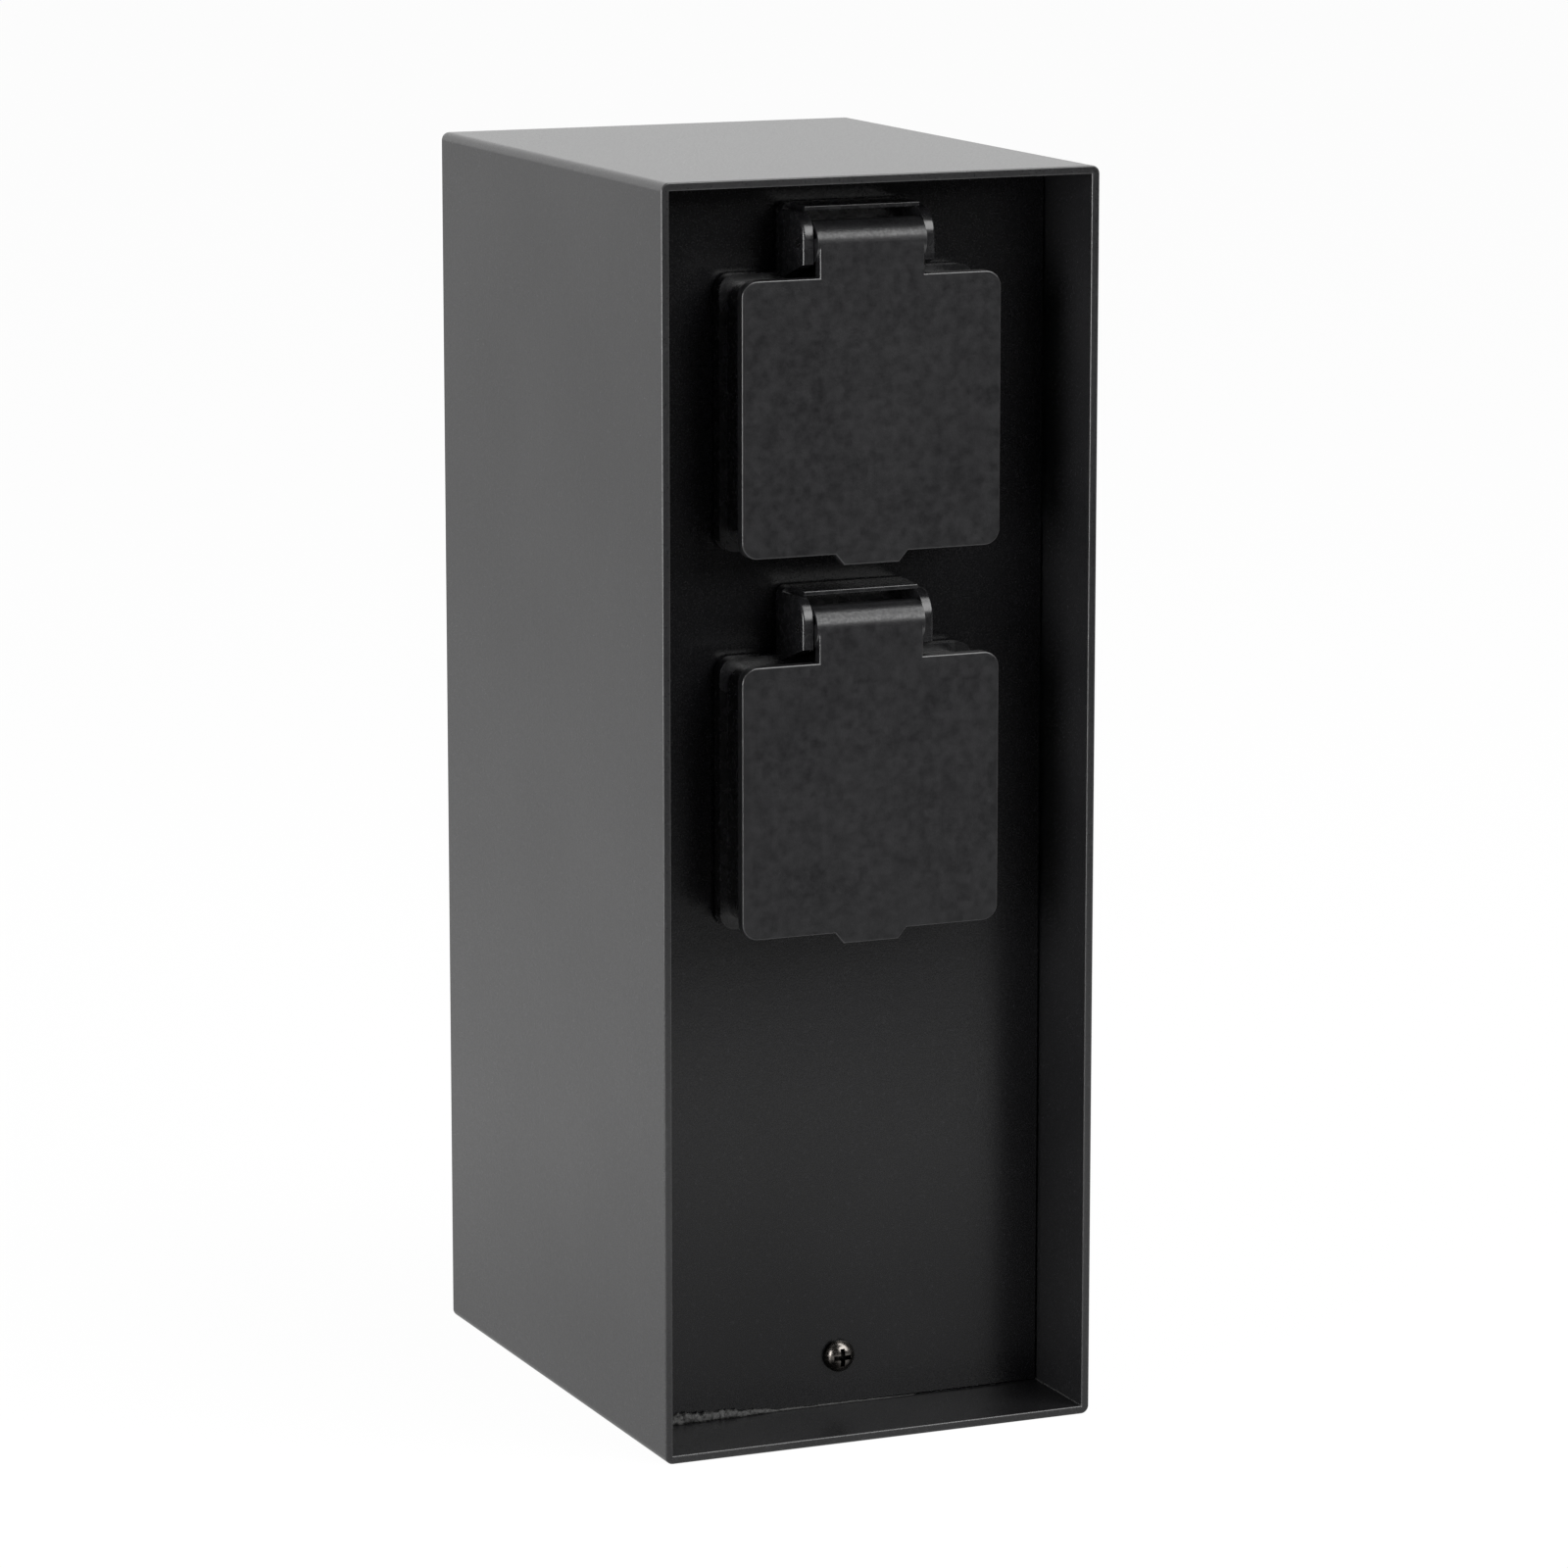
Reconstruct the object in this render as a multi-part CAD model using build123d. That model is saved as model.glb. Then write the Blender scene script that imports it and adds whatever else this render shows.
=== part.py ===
from build123d import *
import math
import os

# Garden socket post: a rectangular aluminium tube that lies with its open ends to the front and the
# back, closed by two recessed panels, with two panel sockets under sprung flap lids in the front one.
# Millimetres. The origin is the middle of the underside, +Z is up and the sockets face -Y.

# Housing tube
housing_width = 85.0
housing_height = 232.0
housing_depth = 110.0
housing_wall = 1.5
housing_edge_round = 1.5
rim_round = 0.25

# Front and rear panels, cut from one sheet
panel_thickness = 2.0
panel_side_gap = 0.5
panel_end_gap = 0.35
front_recess = 19.2
rear_recess = 3.0

# Places of the sockets and of the panel screws
socket_drop = 43.4
socket_pitch = 69.3
panel_screw_height = 10.9

# Fits shared by several pieces
thread_clearance = 0.02
hole_clearance = 0.2
press_clearance = 0.01
running_clearance = 0.05
overrun = 1.0
nearness = 0.01

# Screws: thread radius, head radius, head height, cross recess span, width and depth
small_screw_radius = 1.5
small_head_radius = 3.0
small_head_height = 2.3
small_head_edge = 0.8
cross_span = 3.4
cross_width = 0.9
cross_depth = 1.5
self_tap_radius = 1.3
clamp_head_radius = 2.4
clamp_head_height = 1.6
clamp_cross_span = 2.6
nut_width = 5.5
nut_height = 2.4
panel_screw_length = 8.0
flange_screw_length = 16.0

# Base plate on the housing's floor, with one lug for each panel
base_thickness = 3.0
base_side_gap = 1.0
front_lug_width = 16.0
front_lug_height = 17.0
rear_lug_width = 38.0
rear_lug_height = 64.0
bend_round = 1.5
ground_hole_radius = 2.75
ground_spacing_x = 60.0
ground_spacing_y = 60.0
ground_centre_y = 8.0

# Top plate under the housing's roof, with one lug for each panel's hook
top_thickness = 2.0
top_width = 60.0
top_lug_width = 50.0
top_lug_drop = 8.0
hook_width = 16.0
hook_thickness = 1.5
hook_base_height = 7.0
hook_reach = 4.0
hook_tip_height = 3.2

# Cable gland through the floor
gland_y = 5.0
gland_thread_radius = 10.0
gland_hex_width = 24.0
gland_hex_height = 6.0
gland_neck_radius = 8.9
gland_neck_height = 9.0
gland_bore_radius = 6.6
gland_seal_radius = 6.5
cable_radius = 4.75
gland_seal_height = 8.0
gland_cap_height = 13.0
gland_cap_skirt = 1.5
gland_cap_mouth_radius = 5.4
gland_floor_gap = 0.3
gland_cap_corner_radius = 13.5
gland_cap_edge = 2.0

# Terminal block on the rear lug
terminal_pitch = 11.0
terminal_width = 34.0
terminal_depth = 15.0
terminal_height = 18.0
terminal_foot = 40.0
terminal_round = 1.0
sleeve_radius = 3.0
sleeve_bore_radius = 1.8
sleeve_length = 14.0
terminal_wire_depth = 7.5
terminal_screw_spacing = 7.0
terminal_screw_radius = 1.25
terminal_head_radius = 2.0
terminal_head_height = 1.4
terminal_cross_span = 2.2

# Earth stud on the base plate
stud_side_gap = 16.5
stud_y = 0.0
stud_radius = 2.0
stud_height = 10.0
ring_radius = 4.2
ring_thickness = 0.8
ring_neck_length = 8.0
crimp_radius = 2.1
crimp_length = 6.0
washer_radius = 4.5
washer_thickness = 0.8
stud_nut_width = 7.0
stud_nut_height = 3.2

# Wires inside the post
wire_radius = 1.5
core_radius = 0.75
core_gap = 0.5
crimped_core_length = 1.5
wire_rise = 16.0
wire_lead = 10.0
wire_bow = 4.0
wire_bow_run = 12.0
wire_landing = 4.0
run_share = 0.45

# Socket frame: gasket, square flange, raised collar, hinge ears and hood
gasket_thickness = 1.0
gasket_margin = 0.6
flange_size = 50.0
flange_round = 3.0
flange_thickness = 2.5
collar_size = 47.0
collar_round = 3.5
collar_edge_round = 0.5
screw_spacing = 38.0
counterbore_depth = 4.2
tongue_round = 1.5
ear_gap = 21.7
ear_thickness = 2.05
ear_front_setback = 1.5
ear_crown_round = 4.7
ear_edge_round = 0.5
ear_low_drop = 3.7
ear_top_drop = 0.85
ear_foot_overlap = 1.0
hood_rise = 6.4
hood_setback = 0.9
hood_roof = 0.95
hood_edge_round = 0.25
hood_overlap = 0.3

# Flap lid with its tab, hinge barrel and finger lip
lid_front_recess = 4.6
lid_thickness = 2.0
lid_width = 50.6
lid_height = 49.8
lid_round = 3.0
lid_edge_round = 0.3
lip_root_width = 14.2
lip_tip_width = 10.8
lip_height = 2.0
hinge_rise = 30.95
tab_width = 20.4
barrel_radius = 3.9
barrel_width = 21.2
spigot_clearance = 0.5
spigot_wall = 2.0
spigot_depth = 3.0
seal_width = 1.8
seal_groove = 0.4
seal_stand = 0.9
seal_gap = 0.3

# End stops of the lid's swing: a lug on each ear runs in a groove in the barrel's end
lid_swing = 105.0
stop_angle = 135.0
stop_width_angle = 20.0
stop_spare_angle = 2.0
stop_inner_radius = 2.2
stop_outer_radius = 3.2
stop_clearance = 0.1
stop_depth = 0.8
sector_step = 35.0

# Hinge pin and torsion spring
pin_radius = 1.0
spring_pocket_width = 11.0
spring_pocket_radius = 3.1
spring_wire_radius = 0.3
spring_coil_radius = 1.5
spring_pitch = 1.05
spring_turns = 6
spring_start_angle = 240.0
spring_end_angle = 360.0
spring_frame_leg = 5.6
spring_lid_leg = 2.2

# Socket insert: the round cup for the plug, its shoulder behind the panel and its pin holes
cup_radius = 19.5
cup_depth = 17.5
cup_wall = 2.3
cup_floor = 3.0
mouth_setback = 0.3
panel_hole_margin = 0.6
shoulder_size = 46.0
shoulder_round = 3.0
shoulder_thickness = 2.5
pin_spacing = 19.0
pin_hole_radius = 2.8
rib_width = 5.0
rib_height = 2.3
rib_setback = 3.5

# Contacts and their block behind the cup
contact_width = 7.6
contact_height = 8.0
contact_length = 18.0
contact_gap = 0.1
jaw_depth = 9.4
jaw_bore_radius = 2.45
jaw_slit = 1.0
wire_hole_radius = 1.65
wire_hole_back = 4.0
block_width = 36.0
block_height = 20.0
block_rear_wall = 2.8
block_round = 1.5
block_screw_spacing = 31.4
block_screw_bite = 2.4
clip_width = 6.0
clip_thickness = 0.8
clip_slot_depth = 1.4
clip_tip_reach = 4.0
clip_bulge_reach = 1.0
clip_bulge = 1.9

# Places worked out from the sizes above
front_rim_y = -housing_depth / 2
rear_rim_y = housing_depth / 2
floor_z = housing_wall
roof_z = housing_height - housing_wall
panel_face_y = front_rim_y + front_recess
panel_back_y = panel_face_y + panel_thickness
rear_face_y = rear_rim_y - rear_recess
rear_back_y = rear_face_y - panel_thickness
base_top_z = floor_z + base_thickness
stud_x = housing_width / 2 - stud_side_gap
upper_z = housing_height - socket_drop
lower_z = upper_z - socket_pitch
socket_heights = {"upper": upper_z, "lower": lower_z}
pole_sides = {"line": -1, "earth": 0, "neutral": 1}

# Depths in a socket, from the front panel's face: less than zero is in front of it
flange_back = -gasket_thickness
flange_front = flange_back - flange_thickness
lid_front = lid_front_recess - front_recess
lid_back = lid_front + lid_thickness
collar_front = lid_back + seal_stand + seal_gap
hinge_y = lid_front + barrel_radius
ear_front = lid_front + ear_front_setback
hood_front = hinge_y + hood_setback
hood_top = hinge_rise + hood_rise
ear_top = hood_top - ear_top_drop
ear_crown_end = ear_front + ear_crown_round
ear_span = ear_gap + 2 * ear_thickness
clip_slot_outer = cup_radius + clip_slot_depth
cup_outer_radius = cup_radius + cup_wall
insert_front = collar_front + mouth_setback
floor_front = insert_front + cup_depth
floor_back = floor_front + cup_floor
clip_back = floor_back + clip_thickness
contact_back = clip_back + contact_length
wire_y = contact_back - wire_hole_back
block_back = contact_back + contact_gap + block_rear_wall
pin_offset = pin_spacing / 2
screw_offset = screw_spacing / 2
screw_seat = collar_front + counterbore_depth
wire_plane_y = panel_face_y + wire_y
terminal_back_y = rear_back_y - base_thickness
terminal_front_y = terminal_back_y - terminal_depth
terminal_wire_y = terminal_back_y - terminal_wire_depth
terminal_top = terminal_foot + terminal_height
terminal_middle = terminal_foot + terminal_height / 2
terminal_core = sleeve_length / 2 - core_gap
contact_core = contact_height / 2 + contact_gap - core_gap


def block(low, high):
    """Box between two corners."""
    middle = [(a + b) / 2 for a, b in zip(low, high)]
    return Pos(*middle) * Box(*[b - a for a, b in zip(low, high)])


def bar_x(radius, low, high, y, z):
    """Round bar across the post, from one X to another."""
    return Pos((low + high) / 2, y, z) * Rot(0, 90, 0) * Cylinder(radius, high - low)


def bar_y(radius, low, high, x, z):
    """Round bar from front to back, from one Y to another."""
    return Pos(x, (low + high) / 2, z) * Rot(90, 0, 0) * Cylinder(radius, high - low)


def bar_z(radius, low, high, x, y):
    """Upright round bar, from one Z to another."""
    return Pos(x, y, (low + high) / 2) * Cylinder(radius, high - low)


def sheet(outline, low, high):
    """Solid with an upright outline, seen from the front, between two depths."""
    front_plane = Plane((0, high, 0), x_dir=(1, 0, 0), z_dir=(0, -1, 0))
    return extrude(front_plane * outline, high - low)


def side_plane(x, y, z):
    """Upright plane across which X runs; its first axis points to the front and its second up."""
    return Plane((x, y, z), x_dir=(0, -1, 0), z_dir=(-1, 0, 0))


def corners(half_x, half_z):
    """The four corners of a rectangle about the middle."""
    return [(x, z) for x in (-half_x, half_x) for z in (-half_z, half_z)]


def hexagon(width):
    """Hexagon of a given width across its flats."""
    return RegularPolygon(width / 2, 6, major_radius=False)


def pan_screw(thread, length, head_radius, head_height, recess_span):
    """Pan-head screw with a cross recess: its seat at the origin, its head up and its thread down."""
    rim = small_head_edge / small_head_height * head_height
    profile = make_face(
        Polyline((0, 0), (head_radius, 0), (head_radius, rim))
        + ThreePointArc(
            (head_radius, rim),
            (head_radius * math.cos(math.pi / 4), rim + (head_height - rim) * math.sin(math.pi / 4)),
            (0, head_height),
        )
        + Line((0, head_height), (0, 0))
    )
    head = revolve(Plane.XZ * profile, Axis.Z)
    recess_width = cross_width * recess_span / cross_span
    recess_depth = cross_depth * head_height / small_head_height
    recess = Pos(0, 0, head_height) * (
        Box(recess_span, recess_width, 2 * recess_depth) + Box(recess_width, recess_span, 2 * recess_depth)
    )
    return head - recess + bar_z(thread, -length, 0, 0, 0)


def facing_front(piece, x, y, z):
    """A screw turned so that its head faces the front, with its seat at a point."""
    return Pos(x, y, z) * Rot(90, 0, 0) * piece


def facing_rear(piece, x, y, z):
    """A screw turned so that its head faces the rear, with its seat at a point."""
    return Pos(x, y, z) * Rot(-90, 0, 0) * piece


def group(solids):
    """Equal pieces that share one node."""
    return Compound(children=list(solids))


def housing_tube():
    """The outer tube: rounded outside edges, sharp inside corners, holes in its floor."""
    outside = Box(housing_width, housing_depth, housing_height)
    outside = fillet(outside.edges().filter_by(Axis.Y), housing_edge_round)
    inside = Box(
        housing_width - 2 * housing_wall, housing_depth + 2 * overrun, housing_height - 2 * housing_wall
    )
    tube = Pos(0, 0, housing_height / 2) * (outside - inside)
    rims = tube.faces().sort_by(Axis.Y)
    tube = fillet(rims[0].edges() + rims[-1].edges(), rim_round)
    for x, y in ground_holes():
        tube -= bar_z(ground_hole_radius, -overrun, floor_z + overrun, x, y)
    return tube - bar_z(gland_thread_radius + hole_clearance, -overrun, floor_z + overrun, 0, gland_y)


def ground_holes():
    """Places of the four holes for the ground bolts."""
    return [(x, ground_centre_y + y) for x, y in corners(ground_spacing_x / 2, ground_spacing_y / 2)]


def panel(front_y):
    """A flat panel inside the tube, with the hole for its screw."""
    low = (-housing_width / 2 + housing_wall + panel_side_gap, front_y, floor_z + panel_end_gap)
    high = (-low[0], front_y + panel_thickness, roof_z - panel_end_gap)
    hole = bar_y(
        small_screw_radius + hole_clearance, front_y - overrun, high[1] + overrun, 0, panel_screw_height
    )
    return block(low, high) - hole


def front_panel():
    """The recessed panel, cut out for both sockets and their flange screws."""
    sheet_metal = panel(panel_face_y)
    low, high = panel_face_y - overrun, panel_back_y + overrun
    for height in socket_heights.values():
        sheet_metal -= bar_y(cup_outer_radius + panel_hole_margin, low, high, 0, height)
        for x, z in corners(screw_offset, screw_offset):
            sheet_metal -= bar_y(small_screw_radius + hole_clearance, low, high, x, height + z)
    return sheet_metal


def base_plate():
    """Thick steel plate on the floor; a low lug holds the front screw, a tall one the terminal block."""
    half = housing_width / 2 - housing_wall - base_side_gap
    plate = block((-half, panel_back_y, floor_z), (half, rear_back_y, base_top_z))
    front_lug = block(
        (-front_lug_width / 2, panel_back_y, floor_z),
        (front_lug_width / 2, panel_back_y + base_thickness, front_lug_height),
    )
    rear_lug = block(
        (-rear_lug_width / 2, terminal_back_y, floor_z), (rear_lug_width / 2, rear_back_y, rear_lug_height)
    )
    plate = plate + front_lug + rear_lug
    bends = plate.edges().filter_by(Axis.X)
    bends = bends.filter_by_position(Axis.Z, base_top_z - nearness, base_top_z + nearness)
    bends = bends.filter_by_position(Axis.Y, panel_back_y + nearness, rear_back_y - nearness)
    plate = fillet(bends, bend_round)
    tapped = small_screw_radius + thread_clearance
    plate -= bar_y(tapped, panel_back_y - overrun, rear_back_y + overrun, 0, panel_screw_height)
    low, high = floor_z - overrun, base_top_z + overrun
    for x, y in ground_holes():
        plate -= bar_z(ground_hole_radius, low, high, x, y)
    plate -= bar_z(gland_thread_radius + thread_clearance, low, high, 0, gland_y)
    tapped = terminal_screw_radius + thread_clearance
    for x in terminal_fixing_places():
        plate -= bar_y(tapped, terminal_back_y - overrun, rear_back_y + overrun, x, terminal_middle)
    return plate


def top_plate():
    """Steel plate bonded under the roof; its downturned lugs carry the panels' hooks."""
    underside = roof_z - top_thickness
    plate = block((-top_width / 2, panel_back_y, underside), (top_width / 2, rear_back_y, roof_z))
    half = top_lug_width / 2
    for low in (panel_back_y, rear_back_y - top_thickness):
        plate += block((-half, low, underside - top_lug_drop), (half, low + top_thickness, roof_z))
    return plate


def panel_hook(back_y, inward):
    """Bent strip on a panel's back: it reaches under a lug of the top plate and up behind it."""
    lug_foot = roof_z - top_thickness - top_lug_drop
    crook = lug_foot - hook_thickness
    base_back = back_y + inward * hook_thickness
    tip_face = back_y + inward * hook_reach
    tip_back = tip_face + inward * hook_thickness
    half = hook_width / 2
    strip = spanning(half, back_y, base_back, crook - hook_base_height, crook)
    strip += spanning(half, back_y, tip_back, crook - hook_thickness, crook)
    return strip + spanning(half, tip_face, tip_back, crook - hook_thickness, lug_foot + hook_tip_height)


def spanning(half, first_y, second_y, low_z, high_z):
    """Box across the middle of the post between two depths given in either order."""
    near, far = sorted((first_y, second_y))
    return block((-half, near, low_z), (half, far, high_z))


def panel_hooks():
    """The hooks of both panels."""
    return group([panel_hook(panel_back_y, 1), panel_hook(rear_back_y, -1)])


def panel_screws():
    """One screw at the foot of each panel."""
    screw = pan_screw(
        small_screw_radius, panel_screw_length, small_head_radius, small_head_height, cross_span
    )
    return group(
        [
            facing_front(screw, 0, panel_face_y, panel_screw_height),
            facing_rear(screw, 0, rear_face_y, panel_screw_height),
        ]
    )


def gland_body():
    """Hexagonal gland body with a short thread in the floor and a neck for the cap."""
    top = base_top_z + gland_hex_height
    body = Pos(0, gland_y, base_top_z) * extrude(hexagon(gland_hex_width), gland_hex_height)
    body += bar_z(gland_thread_radius, gland_floor_gap, base_top_z, 0, gland_y)
    body += bar_z(gland_neck_radius, top, top + gland_neck_height, 0, gland_y)
    seat = top + gland_neck_height - gland_seal_height
    body -= bar_z(gland_bore_radius, seat, top + gland_neck_height + overrun, 0, gland_y)
    return body - bar_z(gland_cap_mouth_radius, -overrun, seat + overrun, 0, gland_y)


def gland_seal():
    """Rubber ring that grips the cable."""
    top = base_top_z + gland_hex_height + gland_neck_height
    ring = bar_z(gland_seal_radius, top - gland_seal_height, top, 0, gland_y)
    return ring - bar_z(cable_radius, top - gland_seal_height - overrun, top + overrun, 0, gland_y)


def gland_cap():
    """Domed nut over the neck."""
    low = base_top_z + gland_hex_height + gland_cap_skirt
    neck_top = base_top_z + gland_hex_height + gland_neck_height
    cap = Pos(0, gland_y, low) * extrude(hexagon(gland_hex_width), gland_cap_height)
    dome = bar_z(gland_cap_corner_radius, low, low + gland_cap_height, 0, gland_y)
    dome = chamfer(dome.faces().sort_by(Axis.Z)[-1].edges(), gland_cap_edge)
    cap = cap & dome
    neck_room = gland_neck_radius + running_clearance
    cap -= bar_z(neck_room, low - overrun, neck_top + running_clearance, 0, gland_y)
    return cap - bar_z(gland_cap_mouth_radius, neck_top, low + gland_cap_height + overrun, 0, gland_y)


def terminal_places():
    """Each pole's X at the terminal block."""
    return {pole: side * terminal_pitch for pole, side in pole_sides.items()}


def terminal_fixing_places():
    """X of the two screws that hold the terminal block, between the poles."""
    return (-terminal_pitch / 2, terminal_pitch / 2)


def terminal_block():
    """Moulded block with a bore for each sleeve, open below and above for the wires."""
    half = terminal_width / 2
    body = block((-half, terminal_front_y, terminal_foot), (half, terminal_back_y, terminal_top))
    body = fillet(body.edges().filter_by(Axis.Z), terminal_round)
    sleeve_room = sleeve_radius + running_clearance
    sleeve_low = terminal_middle - sleeve_length / 2
    low, high = terminal_foot - overrun, terminal_top + overrun
    head_room = terminal_head_radius + hole_clearance
    front = terminal_front_y - overrun
    for x in terminal_places().values():
        body -= bar_z(sleeve_room, sleeve_low, sleeve_low + sleeve_length, x, terminal_wire_y)
        body -= bar_z(sleeve_bore_radius, low, high, x, terminal_wire_y)
        for z in terminal_screw_heights():
            body -= bar_y(head_room, front, terminal_wire_y, x, z)
    screw_room = terminal_screw_radius + hole_clearance
    for x in terminal_fixing_places():
        body -= bar_y(screw_room, front, terminal_back_y + overrun, x, terminal_middle)
    return body


def terminal_screw_heights():
    """Heights of the two clamp screws of each pole."""
    return [terminal_middle + side * terminal_screw_spacing / 2 for side in (-1, 1)]


def terminal_sleeves():
    """Three brass sleeves with tapped holes for their clamp screws."""
    sleeves = []
    low, high = terminal_middle - sleeve_length / 2, terminal_middle + sleeve_length / 2
    for x in terminal_places().values():
        sleeve = bar_z(sleeve_radius, low, high, x, terminal_wire_y)
        sleeve -= bar_z(sleeve_bore_radius, low - overrun, high + overrun, x, terminal_wire_y)
        for z in terminal_screw_heights():
            front = terminal_wire_y - sleeve_radius - overrun
            sleeve -= bar_y(terminal_screw_radius + thread_clearance, front, terminal_wire_y, x, z)
        sleeves.append(sleeve)
    return group(sleeves)


def terminal_clamp_screws():
    """Two clamp screws for each sleeve, down to the wire's core."""
    seat = terminal_wire_y - sleeve_radius - running_clearance
    length = sleeve_radius - core_radius
    screw = pan_screw(
        terminal_screw_radius, length, terminal_head_radius, terminal_head_height, terminal_cross_span
    )
    places = [(x, z) for x in terminal_places().values() for z in terminal_screw_heights()]
    return group(facing_front(screw, x, seat, z) for x, z in places)


def terminal_fixing_screws():
    """Two long screws through the block into the rear lug."""
    length = terminal_depth + base_thickness
    screw = pan_screw(
        terminal_screw_radius, length, terminal_head_radius, terminal_head_height, terminal_cross_span
    )
    places = terminal_fixing_places()
    return group(facing_front(screw, x, terminal_front_y, terminal_middle) for x in places)


def earth_stud():
    """Welded stud on the base plate."""
    return bar_z(stud_radius, base_top_z, base_top_z + stud_height, stud_x, stud_y)


def ring_terminal():
    """Ring on the stud, with a neck and a crimp sleeve for the earth wire."""
    low, high = base_top_z, base_top_z + ring_thickness
    neck_end = stud_y + ring_neck_length
    crimp_end = neck_end + crimp_length
    axis_z = base_top_z + crimp_radius
    ring = bar_z(ring_radius, low, high, stud_x, stud_y)
    ring += block((stud_x - crimp_radius, stud_y, low), (stud_x + crimp_radius, crimp_end, high))
    ring += bar_y(crimp_radius, neck_end, crimp_end, stud_x, axis_z)
    ring -= bar_y(wire_radius + thread_clearance, neck_end - overrun, crimp_end + overrun, stud_x, axis_z)
    return ring - bar_z(stud_radius + running_clearance, low - overrun, high + overrun, stud_x, stud_y)


def earth_fasteners():
    """Washer and nut that hold the ring down."""
    washer_z = base_top_z + ring_thickness
    nut_z = washer_z + washer_thickness
    bore_top = nut_z + stud_nut_height + overrun
    bore = bar_z(stud_radius + running_clearance, washer_z - overrun, bore_top, stud_x, stud_y)
    washer = bar_z(washer_radius, washer_z, nut_z, stud_x, stud_y) - bore
    nut = Pos(stud_x, stud_y, nut_z) * extrude(hexagon(stud_nut_width), stud_nut_height)
    return group([washer, nut - bore])


def wire(name, points, first_core, last_core):
    """Insulated wire along straight runs and tangent arcs, with a bare core at each end."""
    stops = [Vector(*p) for p in points]
    radii = []
    for before, corner, after in zip(stops, stops[1:], stops[2:]):
        turn = math.radians((corner - before).get_angle(after - corner))
        shorter = min((corner - before).length, (after - corner).length)
        radii.append(run_share * shorter / math.tan(turn / 2))
    path = FilletPolyline(*stops, radius=radii)
    skin = sweep(Plane(path @ 0, z_dir=path % 0) * Circle(wire_radius), path=path)
    expected = math.pi * wire_radius**2 * path.length
    rounded = [round(radius, 1) for radius in radii]
    print(name, "length", round(path.length, 1), "radii", rounded, "share", round(skin.volume / expected, 4))
    ends = ((path @ 0, -(path % 0), first_core), (path @ 1, path % 1, last_core))
    for at, along, core_length in ends:
        skin += extrude(Plane(at, z_dir=along) * Circle(core_radius), core_length)
    return skin


def feed_wires():
    """Wires from the terminal block up to the lower socket."""
    top = lower_z - contact_height / 2 - contact_gap
    start = terminal_middle + sleeve_length / 2
    wires = {}
    for pole, side in pole_sides.items():
        low_x, high_x = terminal_places()[pole], side * pin_offset
        points = [
            (low_x, terminal_wire_y, start),
            (low_x, terminal_wire_y, terminal_top + wire_rise),
            (high_x, wire_plane_y, top - block_height / 2 - wire_rise / 2),
            (high_x, wire_plane_y, top),
        ]
        wires[f"lower_{pole}_wire"] = wire(f"lower {pole}", points, terminal_core, contact_core)
    return wires


def link_wires():
    """Wires from the lower socket to the upper one, with a slight bow."""
    low = lower_z + contact_height / 2 + contact_gap
    high = upper_z - contact_height / 2 - contact_gap
    wires = {}
    for pole, side in pole_sides.items():
        x, bowed = side * pin_offset, wire_plane_y + wire_bow
        points = [
            (x, wire_plane_y, low),
            (x, wire_plane_y, low + wire_lead),
            (x, bowed, low + wire_lead + wire_bow_run),
            (x, bowed, high - wire_lead - wire_bow_run),
            (x, wire_plane_y, high - wire_lead),
            (x, wire_plane_y, high),
        ]
        wires[f"upper_{pole}_wire"] = wire(f"upper {pole}", points, contact_core, contact_core)
    return wires


def bonding_wire():
    """Earth wire from the terminal block down to the stud."""
    crimp_end = stud_y + ring_neck_length + crimp_length
    axis_z = base_top_z + crimp_radius
    start = terminal_middle - sleeve_length / 2
    points = [
        (0, terminal_wire_y, start),
        (0, terminal_wire_y, start - wire_rise),
        (stud_x / 2, terminal_wire_y - wire_rise / 2, axis_z + wire_landing),
        (stud_x, crimp_end + wire_rise / 2, axis_z),
        (stud_x, crimp_end - crimp_length, axis_z),
    ]
    return wire("bonding", points, terminal_core, crimped_core_length)


def flange_outline(margin):
    """The flange seen from the front: a rounded square with a tongue up behind the hinge."""
    square = RectangleRounded(flange_size - 2 * margin, flange_size - 2 * margin, flange_round)
    tongue_top = hood_top - margin
    tongue = Pos(0, tongue_top / 2) * Rectangle(ear_span - 2 * margin, tongue_top)
    return square + fillet(tongue.vertices().group_by(Axis.Y)[-1], tongue_round)


def socket_frame():
    """Moulded frame: flange, collar round the cup, ears and hood of the hinge."""
    frame = sheet(flange_outline(0), flange_back - flange_thickness, flange_back)
    collar = sheet(RectangleRounded(collar_size, collar_size, collar_round), collar_front, flange_front)
    collar = fillet(collar.faces().sort_by(Axis.Y)[0].edges(), collar_edge_round)
    frame += collar
    front, back = collar_front - overrun, flange_back + overrun
    frame -= bar_y(cup_outer_radius + running_clearance, front, back, 0, 0)
    for x, z in corners(screw_offset, screw_offset):
        frame -= bar_y(small_head_radius + hole_clearance, front, screw_seat, x, z)
        frame -= bar_y(small_screw_radius + hole_clearance, screw_seat - overrun, back, x, z)
    for side in (-1, 1):
        frame += hinge_ear(side)
    frame += hinge_hood()
    bore = bar_x(pin_radius + press_clearance, -ear_span, ear_span, hinge_y, hinge_rise)
    return frame - bore


def hinge_hood():
    """Thin roof behind and above the barrel, which rests on the inner edges of both ears."""
    half = ear_gap / 2 + hood_overlap
    roof = block((-half, hood_front, hood_top - hood_roof), (half, flange_back, hood_top))
    return fillet(roof.edges().filter_by(Axis.X).group_by(Axis.Y)[0], hood_edge_round)


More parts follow.
